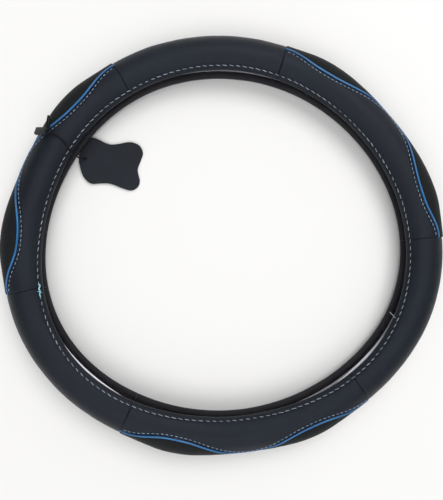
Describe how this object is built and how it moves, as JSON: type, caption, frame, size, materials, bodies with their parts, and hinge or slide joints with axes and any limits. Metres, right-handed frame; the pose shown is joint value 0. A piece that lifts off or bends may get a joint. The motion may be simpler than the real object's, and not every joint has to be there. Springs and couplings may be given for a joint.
{
  "type": "steering wheel cover",
  "caption": "Soft black leather ring of C-shaped section that slips over a steering wheel's rim, with wavy grip inserts edged in blue piping.",
  "frame": {"origin": "on the table under the middle of the ring, which lies flat with its front side up", "axes": "+Z up, from the rear side to the front side; +X to the right and +Y up as the picture shows the cover; the ring is a soft oval, widest along X"},
  "size_m": [0.3909, 0.3695, 0.0407],
  "materials": {
    "leather": "matte, smooth",
    "insert_leather": "matte, fine grain",
    "piping": "satin",
    "liner": "matte",
    "foam": "matte, open cell",
    "string": "matte",
    "clasp": "satin",
    "tag_leather": "matte"
  },
  "bodies": {
    "root": {"liner_ring": "liner", "plain_wrap_1": "leather", "plain_wrap_2": "leather", "plain_wrap_3": "leather", "grip_front_panel_1": "leather", "grip_rear_panel_1": "leather", "grip_outer_insert_1": "insert_leather", "front_piping_1": "piping", "rear_piping_1": "piping", "lobe_foam_1a": "foam", "lobe_foam_1b": "foam", "grip_front_panel_2": "leather", "grip_rear_panel_2": "leather", "grip_outer_insert_2": "insert_leather", "front_piping_2": "piping", "rear_piping_2": "piping", "lobe_foam_2a": "foam", "lobe_foam_2b": "foam", "grip_front_panel_3": "leather", "grip_rear_panel_3": "leather", "grip_outer_insert_3": "insert_leather", "front_piping_3": "piping", "rear_piping_3": "piping", "lobe_foam_3a": "foam", "lobe_foam_3b": "foam", "tag_string": "string", "tag_clasp": "clasp", "tag_hide": "tag_leather"}
  },
  "joints": []
}
